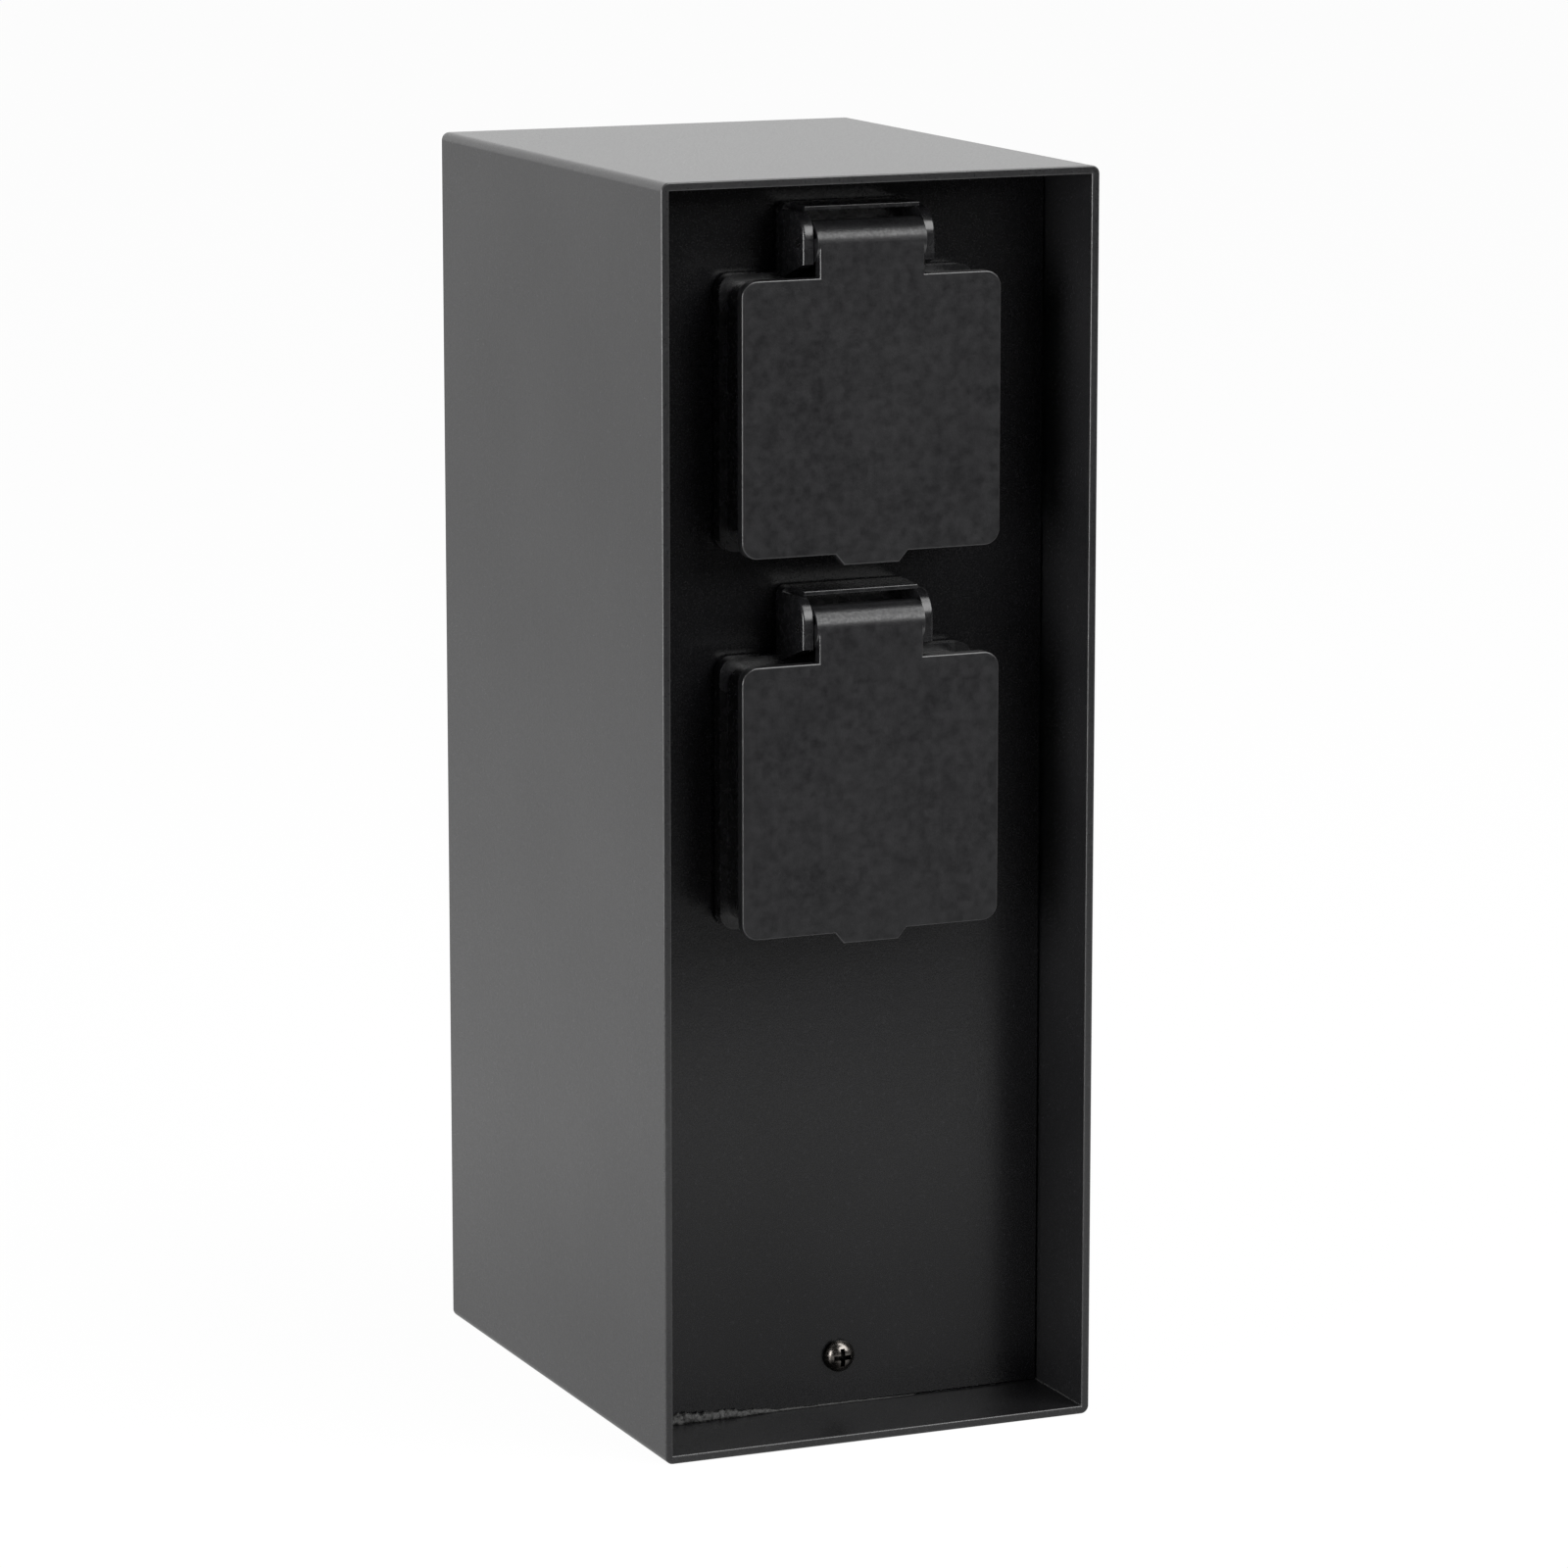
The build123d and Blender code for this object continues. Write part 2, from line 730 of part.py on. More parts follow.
def hinge_ear(side):
    """One ear, with a rounded crown just under the hood, and the stop lug on its inner face."""
    foot = flange_size / 2 - ear_foot_overlap
    outline = make_face(
        Polyline(
            (ear_crown_end, ear_top), (flange_back, ear_top), (flange_back, foot), (flange_front, foot),
            (ear_front, hinge_rise - ear_low_drop), (ear_front, ear_top - ear_crown_round),
        )
        + RadiusArc((ear_front, ear_top - ear_crown_round), (ear_crown_end, ear_top), ear_crown_round)
    )
    middle = side * (ear_gap + ear_thickness) / 2
    ear = Pos(middle, 0, 0) * extrude(Plane.YZ * outline, ear_thickness / 2, both=True)
    outer_edges = ear.faces().sort_by(Axis.X)[-1 if side > 0 else 0].edges()
    front_edges = outer_edges.filter_by(lambda e: e.center().Y < ear_crown_end)
    ear = fillet(front_edges, ear_edge_round)
    lug_start = stop_angle - stop_width_angle / 2
    lug = sector(stop_inner_radius, stop_outer_radius, lug_start, lug_start + stop_width_angle)
    reach = (ear_gap - barrel_width) / 2 + stop_depth
    lug_middle = side * (ear_gap - reach) / 2
    return ear + extrude(side_plane(lug_middle, hinge_y, hinge_rise) * lug, reach / 2, both=True)


def sector(inner, outer, start, end):
    """Part of a ring between two angles in degrees, measured up from the front."""
    ring = Circle(outer) - Circle(inner)
    steps = math.ceil((end - start) / sector_step)
    turns = [math.radians(start + (end - start) * step / steps) for step in range(steps + 1)]
    rays = [(2 * outer * math.cos(turn), 2 * outer * math.sin(turn)) for turn in turns]
    return ring & make_face(Polyline((0, 0), *rays, close=True))


def flange_gasket():
    """Flat rubber gasket between flange and panel."""
    gasket = sheet(flange_outline(gasket_margin), flange_back, 0)
    gasket -= bar_y(cup_outer_radius + hole_clearance, flange_back - overrun, overrun, 0, 0)
    for x, z in corners(screw_offset, screw_offset):
        gasket -= bar_y(small_screw_radius + hole_clearance, flange_back - overrun, overrun, x, z)
    return gasket


def socket_insert():
    """The cup: a round wall, a floor with two pin holes, guide ribs, clip slots and a shoulder."""
    insert = bar_y(cup_outer_radius, insert_front, floor_back, 0, 0)
    shoulder = RectangleRounded(shoulder_size, shoulder_size, shoulder_round)
    insert += sheet(shoulder, panel_thickness, panel_thickness + shoulder_thickness)
    insert -= bar_y(cup_radius, insert_front - overrun, floor_front, 0, 0)
    rib_front = insert_front + rib_setback
    for side in (-1, 1):
        near, far = sorted((side * (cup_radius - rib_height), side * (cup_radius + cup_wall / 2)))
        insert += block((near, rib_front, -rib_width / 2), (far, floor_front, rib_width / 2))
        insert -= bar_y(pin_hole_radius, floor_front - overrun, floor_back + overrun, side * pin_offset, 0)
        low, high = sorted((side * (cup_radius - overrun), side * clip_slot_outer))
        half = clip_width / 2 + hole_clearance
        slot_front = -clip_tip_reach - overrun
        insert -= block((-half, slot_front, low), (half, floor_back + overrun, high))
        insert -= bar_y(
            self_tap_radius + thread_clearance, floor_back - block_screw_bite, floor_back + overrun,
            side * block_screw_spacing / 2, 0,
        )
    for x, z in corners(screw_offset, screw_offset):
        back = panel_thickness + shoulder_thickness + overrun
        insert -= bar_y(small_screw_radius + hole_clearance, panel_thickness - overrun, back, x, z)
    return insert


def contact_body():
    """Block that carries a wire hole and a clamp screw at its rear end."""
    half_x, half_z = contact_width / 2, contact_height / 2
    body = block((-half_x, clip_back, -half_z), (half_x, contact_back, half_z))
    body -= bar_z(wire_hole_radius, -half_z - overrun, half_z + overrun, 0, wire_y)
    return body - bar_y(small_screw_radius + thread_clearance, wire_y, contact_back + overrun, 0, 0)


def pin_contact(side):
    """Line or neutral contact: two brass jaws for the plug's pin, and the wire clamp behind them."""
    body = contact_body()
    jaw_end = clip_back + jaw_depth
    body -= bar_y(jaw_bore_radius, clip_back - overrun, jaw_end, 0, 0)
    slit = block(
        (-jaw_slit / 2, clip_back - overrun, -contact_height), (jaw_slit / 2, jaw_end, contact_height)
    )
    return Pos(side * pin_offset, 0, 0) * (body - slit)


def ribbon(points, thickness):
    """Face that follows a run of points, with half the thickness on each side and mitred corners."""
    stops = [Vector(*p) for p in points]
    runs = [(b - a).normalized() for a, b in zip(stops, stops[1:])]
    sides = [Vector(-run.Y, run.X) for run in runs]
    mitres = [sides[0]]
    for before, after in zip(sides, sides[1:]):
        mitres.append((before + after) / (1 + before.dot(after)))
    mitres.append(sides[-1])
    left = [p + m * (thickness / 2) for p, m in zip(stops, mitres)]
    right = [p - m * (thickness / 2) for p, m in zip(stops, mitres)]
    return make_face(Polyline(*left, *reversed(right), close=True))


def earth_clip():
    """Sprung strip with a finger at the top and the bottom of the cup, and the earth wire's clamp."""
    finger_z = clip_slot_outer - clip_thickness
    bridge_y = floor_back + clip_thickness / 2
    finger = [
        (-clip_tip_reach, finger_z - clip_thickness),
        (-clip_bulge_reach, finger_z - clip_bulge),
        (clip_bulge_reach + clip_bulge, finger_z),
        (bridge_y, finger_z),
    ]
    mirrored = [(y, -z) for y, z in reversed(finger)]
    strip = extrude(Plane.YZ * ribbon(finger + mirrored, clip_thickness), clip_width / 2, both=True)
    return strip + contact_body()


def contact_block():
    """Moulded block behind the cup that holds the three contacts."""
    half_x, half_z = block_width / 2, block_height / 2
    body = block((-half_x, floor_back, -half_z), (half_x, block_back, half_z))
    body = fillet(body.edges().filter_by(Axis.Y), block_round)
    pocket_x, pocket_z = contact_width / 2 + contact_gap, contact_height / 2 + contact_gap
    screw_x = block_screw_spacing / 2
    front = floor_back - overrun
    for side in pole_sides.values():
        x = side * pin_offset
        body -= block((x - pocket_x, front, -pocket_z), (x + pocket_x, contact_back + contact_gap, pocket_z))
        body -= bar_z(wire_radius + hole_clearance, -block_height, block_height, x, wire_y)
        body -= bar_y(clamp_head_radius + hole_clearance, contact_back, block_back + overrun, x, 0)
    half_clip = clip_width / 2 + hole_clearance
    clip_room_back = clip_back + contact_gap
    body -= block((-half_clip, front, -block_height), (half_clip, clip_room_back, block_height))
    for x in (-screw_x, screw_x):
        body -= bar_y(self_tap_radius + hole_clearance, front, block_back + overrun, x, 0)
    return body


def clamp_screws():
    """The wire clamp screw of each contact."""
    seat = contact_back + press_clearance
    length = seat - wire_y - core_radius
    screw = pan_screw(small_screw_radius, length, clamp_head_radius, clamp_head_height, clamp_cross_span)
    return group(facing_rear(screw, side * pin_offset, seat, 0) for side in pole_sides.values())


def block_screws():
    """Two screws that hold the contact block to the cup's floor."""
    length = block_back - floor_back + block_screw_bite
    screw = pan_screw(self_tap_radius, length, clamp_head_radius, clamp_head_height, clamp_cross_span)
    half = block_screw_spacing / 2
    return group(facing_rear(screw, x, block_back, 0) for x in (-half, half))


def flange_screws():
    """Four screws from the collar through the panel and the insert's shoulder."""
    screw = pan_screw(
        small_screw_radius, flange_screw_length, small_head_radius, small_head_height, cross_span
    )
    return group(facing_front(screw, x, screw_seat, z) for x, z in corners(screw_offset, screw_offset))


def flange_nuts():
    """The nuts of the flange screws, behind the insert's shoulder."""
    front = panel_thickness + shoulder_thickness
    back = front + nut_height
    tapped = small_screw_radius + thread_clearance
    nuts = []
    for x, z in corners(screw_offset, screw_offset):
        nut = sheet(Pos(x, z) * hexagon(nut_width), front, back)
        nuts.append(nut - bar_y(tapped, front - overrun, back + overrun, x, z))
    return group(nuts)


def lid_outline():
    """The lid seen from the front: a rounded plate with a tab above and a finger lip below."""
    half = lid_height / 2
    lip = make_face(
        Polyline(
            (-lip_root_width / 2, -half + lip_height), (-lip_root_width / 2, -half),
            (-lip_tip_width / 2, -half - lip_height), (lip_tip_width / 2, -half - lip_height),
            (lip_root_width / 2, -half), (lip_root_width / 2, -half + lip_height), close=True,
        )
    )
    tab = Pos(0, hinge_rise / 2) * Rectangle(tab_width, hinge_rise)
    return RectangleRounded(lid_width, lid_height, lid_round) + tab + lip


def socket_lid():
    """Flap lid: plate, barrel round the pin, spigot ring inside the cup and a groove for the seal."""
    plate = sheet(lid_outline(), lid_front, lid_back)
    face_edges = plate.faces().sort_by(Axis.Y)[0].edges()
    top_edge = face_edges.sort_by(Axis.Z)[-1]
    plate = fillet([edge for edge in face_edges if edge != top_edge], lid_edge_round)
    half = barrel_width / 2
    barrel = bar_x(barrel_radius, -half, half, hinge_y, hinge_rise)
    spigot_radius = cup_radius - spigot_clearance
    spigot_back = lid_back + spigot_depth
    spigot = bar_y(spigot_radius, lid_back, spigot_back, 0, 0)
    spigot -= bar_y(spigot_radius - spigot_wall, lid_back - overrun, spigot_back + overrun, 0, 0)
    lid = plate + barrel + spigot
    groove_floor = lid_back - seal_groove
    groove = bar_y(seal_outer_radius(), groove_floor, lid_back + overrun, 0, 0)
    groove -= bar_y(seal_outer_radius() - seal_width, groove_floor - overrun, lid_back + overrun, 0, 0)
    lid -= groove
    lid -= bar_x(pin_radius + running_clearance, -half - overrun, half + overrun, hinge_y, hinge_rise)
    lid -= spring_pocket()
    for side in (-1, 1):
        lid -= stop_groove(side)
    return lid


def seal_outer_radius():
    """Outer radius of the lid's seal, which lands on the collar outside the cup's wall."""
    return cup_outer_radius + running_clearance + seal_width - seal_groove


def spring_pocket():
    """Room for the spring in the middle of the barrel, open to the rear."""
    half, radius = spring_pocket_width / 2, spring_pocket_radius
    rear = hinge_y + barrel_radius + overrun
    opening = block((-half, hinge_y, hinge_rise - radius), (half, rear, hinge_rise + radius))
    return bar_x(radius, -half, half, hinge_y, hinge_rise) + opening


def stop_groove(side):
    """Groove in one end of the barrel, as long as the lid's swing."""
    spare = stop_width_angle / 2 + stop_spare_angle
    shape = sector(
        stop_inner_radius - stop_clearance, stop_outer_radius + stop_clearance,
        stop_angle - lid_swing - spare, stop_angle + spare,
    )
    depth = stop_depth + stop_clearance
    middle = side * (barrel_width - depth + overrun) / 2
    plane = side_plane(middle, hinge_y, hinge_rise)
    return extrude(plane * shape, (depth + overrun) / 2, both=True)


def lid_seal():
    """Flat sealing ring in the lid's groove, just clear of the collar."""
    back, front = lid_back + seal_stand, lid_back - seal_groove
    ring = bar_y(seal_outer_radius(), front, back, 0, 0)
    return ring - bar_y(seal_outer_radius() - seal_width, front - overrun, back + overrun, 0, 0)


def hinge_pin():
    """Steel pin pressed into both ears."""
    return bar_x(pin_radius, -ear_span / 2, ear_span / 2, hinge_y, hinge_rise)


def coil_point(angle, x):
    """Point of the spring's centre line at an angle in degrees, measured up from the front."""
    turn = math.radians(angle)
    return Vector(
        x, hinge_y - spring_coil_radius * math.cos(turn), hinge_rise + spring_coil_radius * math.sin(turn)
    )


def lid_spring():
    """Torsion spring round the pin: one leg on the frame behind, the other in the barrel's pocket."""
    sweep_angle = spring_turns * 360 + spring_end_angle - spring_start_angle
    arcs = math.ceil(sweep_angle / 180)
    width = spring_pitch * sweep_angle / 360
    marks = [step / (2 * arcs) for step in range(2 * arcs + 1)]
    stops = [coil_point(spring_start_angle + sweep_angle * m, width * (m - 1 / 2)) for m in marks]
    edges = [ThreePointArc(*stops[2 * n:2 * n + 3]) for n in range(arcs)]
    first, last = edges[0], edges[-1]
    frame_end = (first @ 0) - (first % 0) * spring_frame_leg
    lid_end = (last @ 1) + (last % 1) * spring_lid_leg
    path = Wire([Line(frame_end, first @ 0), *edges, Line(last @ 1, lid_end)])
    wound = sweep(Plane(frame_end, z_dir=first % 0) * Circle(spring_wire_radius), path=path)
    expected = math.pi * spring_wire_radius**2 * path.length
    gap = round(spring_gap(path), 2)
    print("spring wire", round(path.length, 1), "gap", gap, "share", round(wound.volume / expected, 4))
    return wound


def spring_gap(path):
    """Least gap between stretches of the wire that lie more than half a turn apart."""
    half_turn = math.pi * spring_coil_radius
    count = math.ceil(path.length / (spring_wire_radius / 2))
    spots = [path @ (n / count) for n in range(count + 1)]
    skip = math.ceil(half_turn * count / path.length)
    gaps = [(a - b).length for n, a in enumerate(spots) for b in spots[n + skip:]]
    return min(gaps) - 2 * spring_wire_radius


def socket_pieces():
    """Every piece of one socket, in the socket's own frame: the cup's axis and the panel's face."""
    return {
        "socket_frame": socket_frame(),
        "flange_gasket": flange_gasket(),
        "socket_insert": socket_insert(),
        "contact_block": contact_block(),
        "line_contact": pin_contact(pole_sides["line"]),
        "neutral_contact": pin_contact(pole_sides["neutral"]),
        "earth_clip": earth_clip(),
        "clamp_screws": clamp_screws(),
        "block_screws": block_screws(),
        "flange_screws": flange_screws(),
        "flange_nuts": flange_nuts(),
        "lid": socket_lid(),
        "lid_seal": lid_seal(),
        "hinge_pin": hinge_pin(),
        "lid_spring": lid_spring(),
    }


pieces = {
    "housing_tube": housing_tube(),
    "front_panel": front_panel(),
    "rear_panel": panel(rear_back_y),
    "base_plate": base_plate(),
    "top_plate": top_plate(),
    "panel_hooks": panel_hooks(),
    "panel_screws": panel_screws(),
    "gland_body": gland_body(),
    "gland_seal": gland_seal(),
    "gland_cap": gland_cap(),
    "terminal_block": terminal_block(),
    "terminal_sleeves": terminal_sleeves(),
    "terminal_clamp_screws": terminal_clamp_screws(),
    "terminal_fixing_screws": terminal_fixing_screws(),
    "earth_stud": earth_stud(),
    "ring_terminal": ring_terminal(),
    "earth_fasteners": earth_fasteners(),
    "earth_bonding_wire": bonding_wire(),
}
pieces.update(feed_wires())
pieces.update(link_wires())
for name, shape in socket_pieces().items():
    for level, height in socket_heights.items():
        pieces[f"{level}_{name}"] = Pos(0, panel_face_y, height) * shape

os.makedirs("parts", exist_ok=True)
for name, shape in pieces.items():
    export_step(shape, f"parts/{name}.step")
print(len(pieces), "nodes")
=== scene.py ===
# %% [markdown]
# # Garden socket post
# A low post for the garden: a rectangular aluminium tube, powder coated in black, with two panel
# sockets behind sprung flap lids. The CAD frame gives every piece its size and place. This script adds
# what the eye reads: paint with a fine grain, moulded plastic, metal, light, and a camera at the angle
# of the photograph. Lengths are in metres, +Z is up and the sockets face -Y.

# %% Load the frame
import math

import bmesh
import bpy
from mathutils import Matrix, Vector
from mathutils.noise import noise as snoise


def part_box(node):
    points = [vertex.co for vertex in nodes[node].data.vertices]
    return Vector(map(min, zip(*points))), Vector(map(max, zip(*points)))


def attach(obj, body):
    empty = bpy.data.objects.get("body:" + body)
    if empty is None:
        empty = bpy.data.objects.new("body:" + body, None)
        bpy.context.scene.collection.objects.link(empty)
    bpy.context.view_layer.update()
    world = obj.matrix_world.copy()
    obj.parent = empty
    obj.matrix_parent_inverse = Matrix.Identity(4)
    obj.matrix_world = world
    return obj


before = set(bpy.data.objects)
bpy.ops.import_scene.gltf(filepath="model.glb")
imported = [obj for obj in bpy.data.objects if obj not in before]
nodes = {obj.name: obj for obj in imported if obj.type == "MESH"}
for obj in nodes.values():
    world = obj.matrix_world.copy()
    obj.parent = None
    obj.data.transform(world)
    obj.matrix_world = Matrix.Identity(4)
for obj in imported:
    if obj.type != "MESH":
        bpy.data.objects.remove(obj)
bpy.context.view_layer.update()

mm = 0.001

# %% [markdown]
# ## The camera
# The photograph was taken from the left and slightly above, from more than a metre away, so the post's
# upright edges stay almost parallel. A long lens far off gives that. A short lens close by would frame
# the post as well, but its sides would taper. The place and the lens were worked out from the corners
# of the housing and of the lids.

# %% Camera
camera_place = Vector((-0.46895, -1.09818, 0.33960))
camera_target = Vector((-0.01920, -0.05500, 0.12370))
camera_lens = 148.54
sensor_width = 36.0

camera_data = bpy.data.cameras.new("camera")
camera_data.sensor_width = sensor_width
camera_data.lens = camera_lens
camera = bpy.data.objects.new("camera", camera_data)
camera.location = camera_place
camera.rotation_euler = (camera_target - camera_place).to_track_quat("-Z", "Y").to_euler()
bpy.context.scene.collection.objects.link(camera)
bpy.context.scene.camera = camera
print("camera distance:", round((camera_target - camera_place).length, 3))

# %% [markdown]
# ## Studio light
# Black paint shows almost nothing of its own colour. What the eye sees is the studio mirrored in it,
# weakly where a surface faces the camera and strongly where it is seen at a slant: that is why the top
# looks silver and the front nearly black. So what matters is what stands where. Behind the post the
# studio is white. In front of it, round the camera, it is dark, and the panel beside the sockets mirrors
# that dark. Three soft lamps draw the bright lines on the rounded edges. The largest, in front on the
# right, is what the hinge barrels and the crowns of the ears mirror. The second, high on the right, draws
# the upper edges of lids, hoods and rim. The third, low on the left, draws the lids' left edges and
# lights the right wall's inside. Small hard lamps would light the post too, but leave spots on the lids.
# The price is paid behind: seen low from the rear left, the top mirrors the front lamp and turns white.

# %% World and lamps
ambient_level = 0.12
back_level = 1.25
front_level = 0.05


def arithmetic(tree, operation, *values):
    """One sum in a material; each value is a number or another node's output."""
    node = tree.nodes.new("ShaderNodeMath")
    node.operation = operation
    for socket, value in zip(node.inputs, values):
        if isinstance(value, (int, float)):
            socket.default_value = value
        else:
            tree.links.new(value, socket)
    return node.outputs[0]


def ramp(tree, value, start, end, low, high):
    """Goes smoothly from one level to another between two values."""
    node = tree.nodes.new("ShaderNodeMapRange")
    node.interpolation_type = "SMOOTHSTEP"
    node.inputs["From Min"].default_value = start
    node.inputs["From Max"].default_value = end
    node.inputs["To Min"].default_value = low
    node.inputs["To Max"].default_value = high
    tree.links.new(value, node.inputs["Value"])
    return node.outputs["Result"]


def levels_along(tree, value, stops):
    """A level that goes evenly from one marked place to the next; each stop is (place, level)."""
    first, last = stops[0][0], stops[-1][0]
    most = max(level for _, level in stops)
    node = tree.nodes.new("ShaderNodeValToRGB")
    marks = node.color_ramp.elements
    for place, _ in stops[1:-1]:
        marks.new((place - first) / (last - first))
    for mark, (_, level) in zip(marks, stops):
        mark.color = (level / most, level / most, level / most, 1)
    share = arithmetic(tree, "DIVIDE", arithmetic(tree, "SUBTRACT", value, first), last - first)
    tree.links.new(share, node.inputs["Fac"])
    return arithmetic(tree, "MULTIPLY", node.outputs["Color"], most)


def along_y(tree, source):
    """The Y part of a place or a direction: less than zero is in front of the post."""
    parts = tree.nodes.new("ShaderNodeSeparateXYZ")
    tree.links.new(tree.nodes.new("ShaderNodeTexCoord").outputs[source], parts.inputs["Vector"])
    return parts.outputs["Y"]


def choose(tree, share, first, second):
    """Mixes two shaders by a share."""
    node = tree.nodes.new("ShaderNodeMixShader")
    tree.links.new(share, node.inputs[0])
    tree.links.new(first, node.inputs[1])
    tree.links.new(second, node.inputs[2])
    return node.outputs[0]


def studio_world():
    """Plain light from all round, white for the camera, and mirrored white behind and dark in front."""
    world = bpy.data.worlds.new("studio")
    world.use_nodes = True
    tree = world.node_tree
    tree.nodes.clear()
    path = tree.nodes.new("ShaderNodeLightPath")
    levels = {}
    for name, level in (("plain", ambient_level), ("seen", 1.0), ("mirrored", back_level)):
        levels[name] = tree.nodes.new("ShaderNodeBackground")
        levels[name].inputs["Color"].default_value = (1, 1, 1, 1)
        levels[name].inputs["Strength"].default_value = level
    mirrored_level = ramp(tree, along_y(tree, "Generated"), -0.25, 0.1, front_level, back_level)
    tree.links.new(mirrored_level, levels["mirrored"].inputs["Strength"])
    outputs = {name: node.outputs[0] for name, node in levels.items()}
    shown = choose(tree, path.outputs["Is Glossy Ray"], outputs["plain"], outputs["mirrored"])
    for ray in ("Is Transmission Ray", "Is Camera Ray"):
        shown = choose(tree, path.outputs[ray], shown, outputs["seen"])
    output = tree.nodes.new("ShaderNodeOutputWorld")
    tree.links.new(shown, output.inputs["Surface"])
    bpy.context.scene.world = world


def soft_lamp(name, right, rise, distance, width, height, radiance):
    """A rectangular lamp that faces the post. Its angles are degrees right of the front and above level."""
    turn, lift = math.radians(right), math.radians(rise)
    direction = Vector((math.sin(turn) * math.cos(lift), -math.cos(turn) * math.cos(lift), math.sin(lift)))
    data = bpy.data.lights.new(name, "AREA")
    data.shape = "RECTANGLE"
    data.size = width
    data.size_y = height
    data.energy = radiance * math.pi * width * height
    lamp = bpy.data.objects.new(name, data)
    lamp.location = post_middle + direction * distance
    lamp.rotation_euler = (-direction).to_track_quat("-Z", "Y").to_euler()
    bpy.context.scene.collection.objects.link(lamp)
    return lamp


studio_world()
post_middle = Vector((0.0, 0.0, 0.12))
soft_lamp("front_lamp", 33, 30, 1.8, 1.6, 1.1, 7.0)
soft_lamp("left_lamp", -71, 6, 0.8, 0.5, 0.5, 15.0)
soft_lamp("high_lamp", 64, 62, 1.2, 0.7, 0.7, 6.0)
bpy.context.scene.view_settings.view_transform = "Standard"

# %% [markdown]
# ## The floor
# The post stands on a white sheet with hardly a shadow. A plain white floor would show a grey shadow
# and a grey horizon, so the floor looks mostly self-lit to the camera: it stays white, and a faint
# shadow remains round the post's foot. In mirrors the sheet glows with painted light: a painted pool of
# light, brightest about a quarter of a metre in front of the post, that ends a little farther out, and
# dimmer painted shade round and behind the post. The lower part of the panel mirrors that bright patch,
# and its upper part looks past the sheet into the dark.

# %% Floor
floor_size = 16.0
floor_gap = 0.05 * mm
self_lit_share = 0.97
# Painted light: the sheet's glow in mirrors, a bright painted pool in front and painted shade round the
# post.
painted_sheet_glow = [
    (-0.41, front_level), (-0.335, 1.50), (-0.27, 1.50), (-0.12, 0.72),
    (0.05, 0.74), (0.20, 0.92), (1.0, 0.70),
]


def studio_floor():
    """A wide pale sheet under the post."""
    mesh = bpy.data.meshes.new("floor")
    half = floor_size / 2
    corners = [(-half, -half, -floor_gap), (half, -half, -floor_gap), (half, half, -floor_gap)]
    corners.append((-half, half, -floor_gap))
    mesh.from_pydata(corners, [], [(0, 1, 2, 3)])
    material = bpy.data.materials.new("floor_white")
    material.use_nodes = True
    tree = material.node_tree
    tree.nodes.clear()
    path = tree.nodes.new("ShaderNodeLightPath")
    matte = tree.nodes.new("ShaderNodeBsdfDiffuse")
    matte.inputs["Color"].default_value = (0.9, 0.9, 0.9, 1)
    seen = tree.nodes.new("ShaderNodeEmission")
    mirrored = tree.nodes.new("ShaderNodeEmission")
    place = along_y(tree, "Object")
    # The mirrored glow carries the painted pool of light and the painted shade round the post.
    tree.links.new(levels_along(tree, place, painted_sheet_glow), mirrored.inputs["Strength"])
    partly = arithmetic(tree, "MULTIPLY", path.outputs["Is Camera Ray"], self_lit_share)
    shown = choose(tree, partly, matte.outputs[0], seen.outputs[0])
    shown = choose(tree, path.outputs["Is Glossy Ray"], shown, mirrored.outputs[0])
    output = tree.nodes.new("ShaderNodeOutputMaterial")
    tree.links.new(shown, output.inputs["Surface"])
    mesh.materials.append(material)
    floor = bpy.data.objects.new("floor", mesh)
    bpy.context.scene.collection.objects.link(floor)


studio_floor()

# %% [markdown]
# ## How a finish is built
# Every finish starts from the Principled shader and gets three kinds of detail, all made of noise in
# the piece's own space, so it has the same scale everywhere: a change of colour, a change of roughness,
# and a relief. Images would be easier to draw on, but noise has no seams and needs no unwrapping.

# %% Helpers for finishes
plastic_ior = 1.5


def start_finish(name, colour, roughness, metallic=0.0, specular=0.5):
    """A material with its Principled shader, and the place in the piece's own space."""
    material = bpy.data.materials.new(name)
    material.use_nodes = True
    tree = material.node_tree
    shader = tree.nodes["Principled BSDF"]
    shader.inputs["Base Color"].default_value = (*colour, 1)
    shader.inputs["Roughness"].default_value = roughness
    shader.inputs["Metallic"].default_value = metallic
    shader.inputs["IOR"].default_value = plastic_ior
    shader.inputs["Specular IOR Level"].default_value = specular
    place = tree.nodes.new("ShaderNodeTexCoord").outputs["Object"]
    return material, tree, shader, place


def noise(tree, place, size, detail=2.0, stretch=(1, 1, 1)):
    """Noise from 0 to 1 whose patches are about as wide as a size in metres."""
    if stretch != (1, 1, 1):
        squeeze = tree.nodes.new("ShaderNodeMapping")
        squeeze.inputs["Scale"].default_value = stretch
        tree.links.new(place, squeeze.inputs["Vector"])
        place = squeeze.outputs["Vector"]
    node = tree.nodes.new("ShaderNodeTexNoise")
    node.inputs["Scale"].default_value = 1 / size
    node.inputs["Detail"].default_value = detail
    tree.links.new(place, node.inputs["Vector"])
    return node.outputs["Fac"]


def spread(tree, value, low, high, start=0.3, end=0.7):
    """Maps the usual middle range of a noise to a range of its own."""
    node = tree.nodes.new("ShaderNodeMapRange")
    node.inputs["From Min"].default_value = start
    node.inputs["From Max"].default_value = end
    node.inputs["To Min"].default_value = low
    node.inputs["To Max"].default_value = high
    tree.links.new(value, node.inputs["Value"])
    return node.outputs["Result"]


